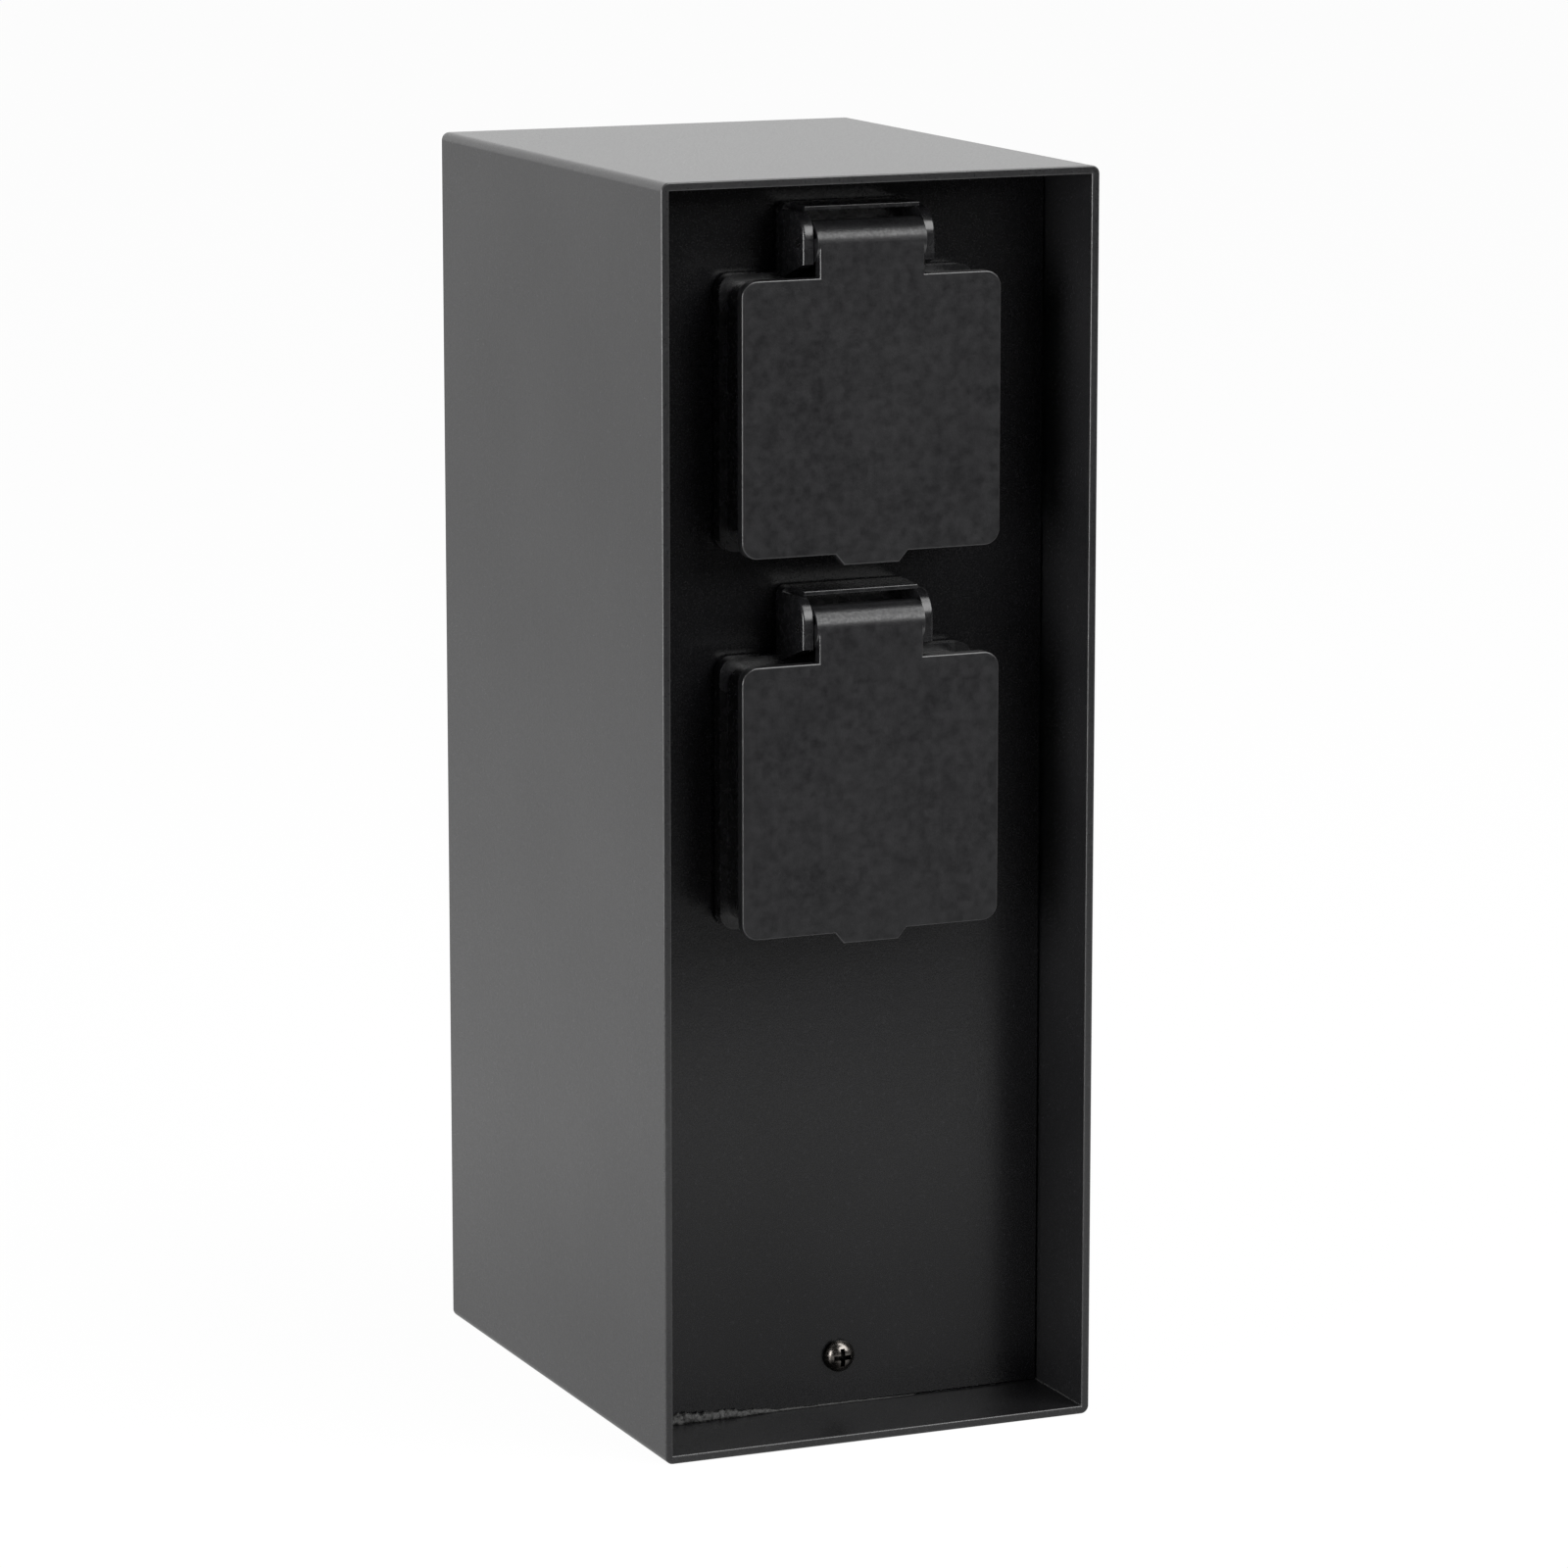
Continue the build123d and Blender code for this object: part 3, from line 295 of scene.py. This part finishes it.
def blend_colours(tree, share, first, second):
    """Goes from one colour to another; either may be a colour or another node's output."""
    node = tree.nodes.new("ShaderNodeMix")
    node.data_type = "RGBA"
    tree.links.new(share, node.inputs["Factor"])
    for socket, colour in (("A", first), ("B", second)):
        target = next(s for s in node.inputs if s.name == socket and s.type == "RGBA")
        if isinstance(colour, tuple):
            target.default_value = (*colour, 1)
        else:
            tree.links.new(colour, target)
    return next(s for s in node.outputs if s.type == "RGBA")


def relief(tree, shader, layers):
    """Stacks height patterns, each as (height, depth in metres), into the shader's normal."""
    normal = None
    for height, depth in layers:
        bump = tree.nodes.new("ShaderNodeBump")
        bump.inputs["Strength"].default_value = 1.0
        bump.inputs["Distance"].default_value = depth
        tree.links.new(height, bump.inputs["Height"])
        if normal:
            tree.links.new(normal, bump.inputs["Normal"])
        normal = bump.outputs["Normal"]
    tree.links.new(normal, shader.inputs["Normal"])


def edge_share(tree, width):
    """Nearly 1 along outside edges and 0 elsewhere: how far a rounded normal leaves the true one."""
    rounded = tree.nodes.new("ShaderNodeBevel")
    rounded.samples = 4
    rounded.inputs["Radius"].default_value = width
    true = tree.nodes.new("ShaderNodeNewGeometry")
    match = tree.nodes.new("ShaderNodeVectorMath")
    match.operation = "DOT_PRODUCT"
    tree.links.new(rounded.outputs["Normal"], match.inputs[0])
    tree.links.new(true.outputs["Normal"], match.inputs[1])
    return spread(tree, match.outputs["Value"], 1.0, 0.0, 0.85, 0.995)


def finish_nodes(material, names):
    """Gives CAD nodes a material in place of their own."""
    for name in names:
        node = nodes[name]
        node.data.materials.clear()
        node.data.materials.append(material)


def both_sockets(*names):
    """The same piece of the upper and of the lower socket."""
    return [f"{level}_{name}" for level in ("upper", "lower") for name in names]


# %% [markdown]
# ## Powder coat
# The housing and the panels are aluminium with a baked powder coat. It is black, not shiny, and its
# surface has a fine grain over a very shallow orange peel. Along the housing's edges the colour is painted
# lighter, a painted highlight along the edges; on the panels' edges it is almost nothing. The grain is
# made by relief, because it is far finer than any mesh.

# %% Powder coat
def powder_coat(name, dark, light, roughness, specular, edge_highlight_tone):
    """Black powder coat with a fine grain, shallow orange peel and a painted highlight lightening its edges
    to a tone.
    """
    material, tree, shader, place = start_finish(name, dark, roughness, specular=specular)
    grain = noise(tree, place, 0.35 * mm, detail=3)
    peel = noise(tree, place, 2.4 * mm)
    clouds = noise(tree, place, 38 * mm, detail=4)
    colour = blend_colours(tree, spread(tree, clouds, 0, 1), dark, light)
    specks = spread(tree, noise(tree, place, 0.8 * mm, detail=1), 0, 0.35, 0.62, 0.75)
    colour = blend_colours(tree, specks, colour, tuple(3 * v for v in light))
    # Painted highlight: the colour turns lighter along the edges.
    painted_edge_highlight = edge_share(tree, 0.4 * mm)
    colour = blend_colours(tree, spread(tree, painted_edge_highlight, 0, 0.5, 0, 1), colour, (edge_highlight_tone,) * 3)
    tree.links.new(colour, shader.inputs["Base Color"])
    tree.links.new(spread(tree, grain, roughness, roughness + 0.1), shader.inputs["Roughness"])
    relief(tree, shader, [(peel, 0.012 * mm), (grain, 0.010 * mm)])
    return material


# The last number is the tone of the painted highlight along the edges.
housing_coat = powder_coat("housing_coat", (0.0045, 0.0045, 0.005), (0.008, 0.008, 0.0085), 0.26, 0.5, 0.09)
panel_coat = powder_coat("panel_coat", (0.002, 0.002, 0.0025), (0.0035, 0.0035, 0.004), 0.20, 0.3, 0.004)
finish_nodes(housing_coat, ["housing_tube"])
finish_nodes(panel_coat, ["front_panel", "rear_panel"])

# %% [markdown]
# ## Moulded plastic
# The lids come from a mould with a spark-eroded face, which leaves a dense grain and a charcoal tone.
# The frame with the hinge ears comes from a polished mould, so it is blacker and glossier. One recipe
# with different numbers makes both, and the dull plastic inside. The lid's hinge barrel and its edges
# slid against a polished part of the mould: they get a thin gloss of their own, with a coarser grain
# that sparkles. A second material on the barrel would do that too, but with a hard line across the tab.

# %% Moulded plastic
def moulded(name, dark, light, roughness, grain_size, grain_depth, specular=0.5):
    """Moulded plastic whose grain is as fine and as deep as its mould's."""
    material, tree, shader, place = start_finish(name, dark, roughness, specular=specular)
    grain = noise(tree, place, grain_size, detail=3)
    flow = noise(tree, place, 14 * mm, detail=3)
    mottle = noise(tree, place, 1.6 * mm, detail=5)
    colour = blend_colours(tree, spread(tree, flow, 0, 1), dark, light)
    colour = blend_colours(tree, spread(tree, mottle, 0, 0.7), colour, tuple(1.8 * v for v in light))
    # Painted highlight: the colour turns lighter along the edges.
    painted_edge_highlight = spread(tree, edge_share(tree, 0.3 * mm), 0, 0.4, 0, 1)
    colour = blend_colours(tree, painted_edge_highlight, colour, tuple(5 * v for v in light))
    tree.links.new(colour, shader.inputs["Base Color"])
    tree.links.new(spread(tree, mottle, roughness - 0.05, roughness + 0.05), shader.inputs["Roughness"])
    relief(tree, shader, [(grain, grain_depth)])
    return material


def hinge_height(level):
    """Height of a lid's hinge pin."""
    low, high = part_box(f"{level}_hinge_pin")
    return (low.z + high.z) / 2


def on_barrels(tree, place):
    """1 on the hinge barrels of both lids, fading to 0 just below them."""
    parts = tree.nodes.new("ShaderNodeSeparateXYZ")
    tree.links.new(place, parts.inputs["Vector"])
    start = hinge_height("lower") - gloss_fade / 2
    pitch = hinge_height("upper") - hinge_height("lower")
    rise = arithmetic(tree, "WRAP", parts.outputs["Z"], start + pitch, start)
    below_top = arithmetic(tree, "LESS_THAN", rise, start + gloss_height)
    lid_part = ramp(tree, rise, start, start + gloss_fade, 0, 1)
    return arithmetic(tree, "MULTIPLY", lid_part, below_top)


def turned_away(tree):
    """0 on the faces of a lid that look straight to the front or rear, 1 where its skin turns away."""
    parts = tree.nodes.new("ShaderNodeSeparateXYZ")
    tree.links.new(tree.nodes.new("ShaderNodeTexCoord").outputs["Normal"], parts.inputs["Vector"])
    return ramp(tree, arithmetic(tree, "ABSOLUTE", parts.outputs["Y"]), 0.95, 0.995, 1, 0)


def gloss_over(material, roughness, grain_size, grain_depth):
    """A thin gloss over the hinge barrels and along the edges, with its own sparkling grain."""
    tree = material.node_tree
    shader = tree.nodes["Principled BSDF"]
    place = tree.nodes.new("ShaderNodeTexCoord").outputs["Object"]
    dulled = spread(tree, noise(tree, place, 0.5 * mm, detail=2), 0.85, 0.45)
    weight = arithmetic(tree, "SUBTRACT", 1, arithmetic(tree, "MULTIPLY", on_barrels(tree, place), dulled))
    share = arithmetic(tree, "MULTIPLY", weight, turned_away(tree))
    tree.links.new(share, shader.inputs["Coat Weight"])
    shader.inputs["Coat Roughness"].default_value = roughness
    bump = tree.nodes.new("ShaderNodeBump")
    bump.inputs["Distance"].default_value = grain_depth
    tree.links.new(noise(tree, place, grain_size, detail=1), bump.inputs["Height"])
    tree.links.new(bump.outputs["Normal"], shader.inputs["Coat Normal"])


gloss_fade = 1.0 * mm
gloss_height = 8.0 * mm
lid_plastic = moulded(
    "lid_plastic", (0.003, 0.003, 0.0035), (0.006, 0.006, 0.0065), 0.42, 0.32 * mm, 0.022 * mm, 0.22
)
gloss_over(lid_plastic, 0.31, 0.6 * mm, 0.060 * mm)
frame_plastic = moulded(
    "frame_plastic", (0.004, 0.004, 0.0045), (0.006, 0.006, 0.0065), 0.26, 0.50 * mm, 0.002 * mm, 0.5
)
insert_plastic = moulded(
    "insert_plastic", (0.012, 0.012, 0.013), (0.018, 0.018, 0.019), 0.42, 0.40 * mm, 0.006 * mm
)
gland_plastic = moulded(
    "gland_plastic", (0.014, 0.014, 0.015), (0.02, 0.02, 0.021), 0.38, 0.45 * mm, 0.006 * mm
)
terminal_plastic = moulded(
    "terminal_plastic", (0.62, 0.60, 0.55), (0.70, 0.68, 0.63), 0.40, 0.50 * mm, 0.004 * mm
)
finish_nodes(lid_plastic, both_sockets("lid"))
finish_nodes(frame_plastic, both_sockets("socket_frame"))
finish_nodes(insert_plastic, both_sockets("socket_insert", "contact_block"))
finish_nodes(gland_plastic, ["gland_body", "gland_cap"])
finish_nodes(terminal_plastic, ["terminal_block"])

# %% [markdown]
# ## Metal
# Screws and sheet steel are zinc plated and slightly cloudy, the panel screws are blackened, and the
# contacts are rolled brass. Metal has no colour of its own under its mirror, so its base colour is what
# it mirrors best, and fine scratches along one direction show how it was made. The panel screws' recesses
# get painted shade: their colour is darkened wherever little of the open surroundings reaches.

# %% Metal
def metal(name, dark, light, roughness, scratch_stretch=(1, 1, 1), scratch_depth=0.002 * mm):
    """Plated or rolled metal with cloudy colour and fine scratches along one direction."""
    material, tree, shader, place = start_finish(name, light, roughness, metallic=1.0)
    clouds = noise(tree, place, 5 * mm, detail=4)
    scratches = noise(tree, place, 0.4 * mm, detail=4, stretch=scratch_stretch)
    colour = blend_colours(tree, spread(tree, clouds, 0, 1), dark, light)
    tree.links.new(colour, shader.inputs["Base Color"])
    tree.links.new(spread(tree, scratches, roughness - 0.08, roughness + 0.08), shader.inputs["Roughness"])
    relief(tree, shader, [(scratches, scratch_depth)])
    return material


def painted_shade_in_hollows(material, reach):
    """Painted shade: darkens a finish's colour deep in hollows, such as a screw's recess."""
    tree = material.node_tree
    shader = tree.nodes["Principled BSDF"]
    open_share = tree.nodes.new("ShaderNodeAmbientOcclusion")
    open_share.samples = 8
    open_share.inputs["Distance"].default_value = reach
    # Painted shade: the colour goes nearly black where little of the open surroundings reaches.
    share = spread(tree, open_share.outputs["AO"], 0, 1, 0.68, 0.97)
    unshaded = shader.inputs["Base Color"].links[0].from_socket
    tree.links.new(blend_colours(tree, share, (0.004, 0.004, 0.004), unshaded), shader.inputs["Base Color"])


dark_steel = metal("dark_screws", (0.08, 0.072, 0.066), (0.15, 0.14, 0.13), 0.24)
painted_shade_in_hollows(dark_steel, 1.5 * mm)
zinc = metal("zinc_plate", (0.42, 0.43, 0.45), (0.55, 0.56, 0.57), 0.36, (1, 0.1, 1))
zinc_screws = metal("zinc_screws", (0.45, 0.46, 0.48), (0.60, 0.60, 0.61), 0.30)
brass = metal("contact_brass", (0.58, 0.40, 0.16), (0.72, 0.54, 0.26), 0.28, (1, 0.1, 1))
tinned = metal("tinned_copper", (0.52, 0.51, 0.49), (0.66, 0.65, 0.62), 0.32)
pin_steel = metal("pin_steel", (0.48, 0.48, 0.48), (0.58, 0.58, 0.59), 0.22, (0.1, 1, 1))
spring_steel = metal("spring_steel", (0.34, 0.34, 0.35), (0.46, 0.46, 0.47), 0.28)
finish_nodes(dark_steel, ["panel_screws"])
finish_nodes(zinc, ["base_plate", "top_plate", "panel_hooks"])
finish_nodes(zinc_screws, ["terminal_clamp_screws", "terminal_fixing_screws"])
finish_nodes(zinc_screws, ["earth_stud", "earth_fasteners"])
finish_nodes(zinc_screws, both_sockets("clamp_screws", "block_screws", "flange_screws", "flange_nuts"))
finish_nodes(brass, ["terminal_sleeves"] + both_sockets("line_contact", "neutral_contact", "earth_clip"))
finish_nodes(tinned, ["ring_terminal"])
finish_nodes(pin_steel, both_sockets("hinge_pin"))
finish_nodes(spring_steel, both_sockets("lid_spring"))

# %% [markdown]
# ## Rubber
# The gaskets and the gland's ring are soft black rubber, the dullest surface of the post: it mirrors
# little, and dust gives it a grey bloom.

# %% Rubber
def soft_rubber(name):
    """Dull black rubber with a dusty bloom."""
    material, tree, shader, place = start_finish(name, (0.014, 0.014, 0.014), 0.7, specular=0.3)
    bloom = noise(tree, place, 3 * mm, detail=4)
    grain = noise(tree, place, 0.25 * mm, detail=2)
    colour = blend_colours(tree, spread(tree, bloom, 0, 1), (0.012, 0.012, 0.012), (0.024, 0.024, 0.023))
    tree.links.new(colour, shader.inputs["Base Color"])
    tree.links.new(spread(tree, bloom, 0.62, 0.78), shader.inputs["Roughness"])
    relief(tree, shader, [(grain, 0.008 * mm)])
    return material


seal_rubber = soft_rubber("seal_rubber")
finish_nodes(seal_rubber, ["gland_seal"] + both_sockets("flange_gasket", "lid_seal"))

# %% [markdown]
# ## Wire insulation
# Line is brown and neutral is blue. Earth is green with a yellow stripe along the wire. The stripe
# follows the way the surface faces: where the wire's skin looks to one side it is yellow, so the stripe
# runs along the wire without any unwrapping.

# %% Wire insulation
stripe_half_width = 0.35
stripe_blend = 0.04


def wire_skin(name, colour, stripe=None):
    """Soft plastic insulation, with a lengthwise stripe if one is asked for."""
    material, tree, shader, place = start_finish(name, colour, 0.4)
    tone = noise(tree, place, 4 * mm, detail=2)
    darker = tuple(0.8 * v for v in colour)
    shade = blend_colours(tree, spread(tree, tone, 0, 1), darker, colour)
    if stripe:
        facing = tree.nodes.new("ShaderNodeSeparateXYZ")
        coordinates = tree.nodes.new("ShaderNodeTexCoord")
        tree.links.new(coordinates.outputs["Normal"], facing.inputs["Vector"])
        across = arithmetic(tree, "ABSOLUTE", facing.outputs["X"])
        edge = spread(tree, across, 1, 0, stripe_half_width, stripe_half_width + stripe_blend)
        shade = blend_colours(tree, edge, shade, stripe)
    tree.links.new(shade, shader.inputs["Base Color"])
    tree.links.new(spread(tree, tone, 0.34, 0.46), shader.inputs["Roughness"])
    relief(tree, shader, [(noise(tree, place, 0.6 * mm), 0.003 * mm)])
    return material


line_skin = wire_skin("line_wire_skin", (0.16, 0.06, 0.022))
neutral_skin = wire_skin("neutral_wire_skin", (0.02, 0.10, 0.36))
earth_skin = wire_skin("earth_wire_skin", (0.03, 0.22, 0.05), stripe=(0.62, 0.52, 0.04))
finish_nodes(line_skin, both_sockets("line_wire"))
finish_nodes(neutral_skin, both_sockets("neutral_wire"))
finish_nodes(earth_skin, ["earth_bonding_wire"] + both_sockets("earth_wire"))
unfinished = [name for name, node in nodes.items() if len(node.data.materials) != 1]
print("CAD nodes without a finish of their own:", unfinished)

# %% [markdown]
# ## The bead along the seam
# A thin bead of filler runs along the foot of the front panel, from the left corner to a little past
# the middle. It is thick and crumbly at the left and thins out to a line. It is one swept strip: a
# quarter round against panel and floor, whose size follows a few marked widths along the seam, and
# whose skin is pushed in and out by noise so that it looks like crumbs. Loose grains would look much
# the same from here, but hundreds of separate bits are no way to make a strip.

# %% Seam bead
bead_marks = [
    (0.0, 0.9), (2.5, 1.3), (9.0, 1.8), (18.0, 1.5), (25.0, 1.0), (28.0, 0.4), (40.0, 0.35), (56.0, 0.15)
]
bead_step = 0.25 * mm
bead_depth_share = 0.7
bead_sides = 7
crumb_sizes = ((3.0 * mm, 0.4), (0.8 * mm, 0.22), (0.3 * mm, 0.16))


def width_along(marks, run):
    """A width between two marked ones, at a place along the run; both in millimetres."""
    for (start, low), (end, high) in zip(marks, marks[1:]):
        if run <= end:
            return low + (high - low) * (run - start) / (end - start)
    return marks[-1][1]


def crumbs(place):
    """How much the skin stands out or in at a place, as a share of the bead's width."""
    return sum(share * snoise(place / size) for size, share in crumb_sizes)


def seam_bead():
    """The strip, from the panel's left corner along its foot."""
    panel_low, panel_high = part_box("front_panel")
    floor_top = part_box("base_plate")[0].z
    rows = int(bead_marks[-1][0] * mm / bead_step)
    mesh = bmesh.new()
    previous = []
    for row in range(rows + 1):
        run = row * bead_step
        width = width_along(bead_marks, run / mm) * mm
        corner = Vector((panel_low.x + run, panel_low.y, floor_top))
        ring = [mesh.verts.new(corner)]
        for side in range(bead_sides):
            turn = math.pi / 2 * side / (bead_sides - 1)
            out = Vector((0, -bead_depth_share * math.cos(turn), math.sin(turn))) * width
            out *= 1 + crumbs(corner + out)
            ring.append(mesh.verts.new(corner + out))
        if previous:
            for first, second in zip(range(len(ring)), list(range(1, len(ring))) + [0]):
                mesh.faces.new((previous[first], ring[first], ring[second], previous[second]))
        else:
            mesh.faces.new(list(reversed(ring)))
        previous = ring
    mesh.faces.new(previous)
    bmesh.ops.recalc_face_normals(mesh, faces=mesh.faces)
    data = bpy.data.meshes.new("seam_bead")
    mesh.to_mesh(data)
    mesh.free()
    for face in data.polygons:
        face.use_smooth = True
    bead = bpy.data.objects.new("seam_bead", data)
    bpy.context.scene.collection.objects.link(bead)
    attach(bead, "post")
    return bead


def crumbly_filler():
    """Dark filler with lighter crumbs."""
    material, tree, shader, place = start_finish("seam_filler", (0.008, 0.008, 0.008), 0.5, specular=0.4)
    crumb = noise(tree, place, 0.5 * mm, detail=3)
    tone = spread(tree, crumb, 0, 1, 0.48, 0.66)
    colour = blend_colours(tree, tone, (0.004, 0.004, 0.004), (0.030, 0.030, 0.029))
    tree.links.new(colour, shader.inputs["Base Color"])
    tree.links.new(spread(tree, crumb, 0.5, 0.7), shader.inputs["Roughness"])
    relief(tree, shader, [(crumb, 0.05 * mm)])
    return material


bead = seam_bead()
bead.data.materials.append(crumbly_filler())
print("seam bead:", len(bead.data.vertices), "points,", [round(v * 1000, 1) for v in bead.dimensions], "mm")
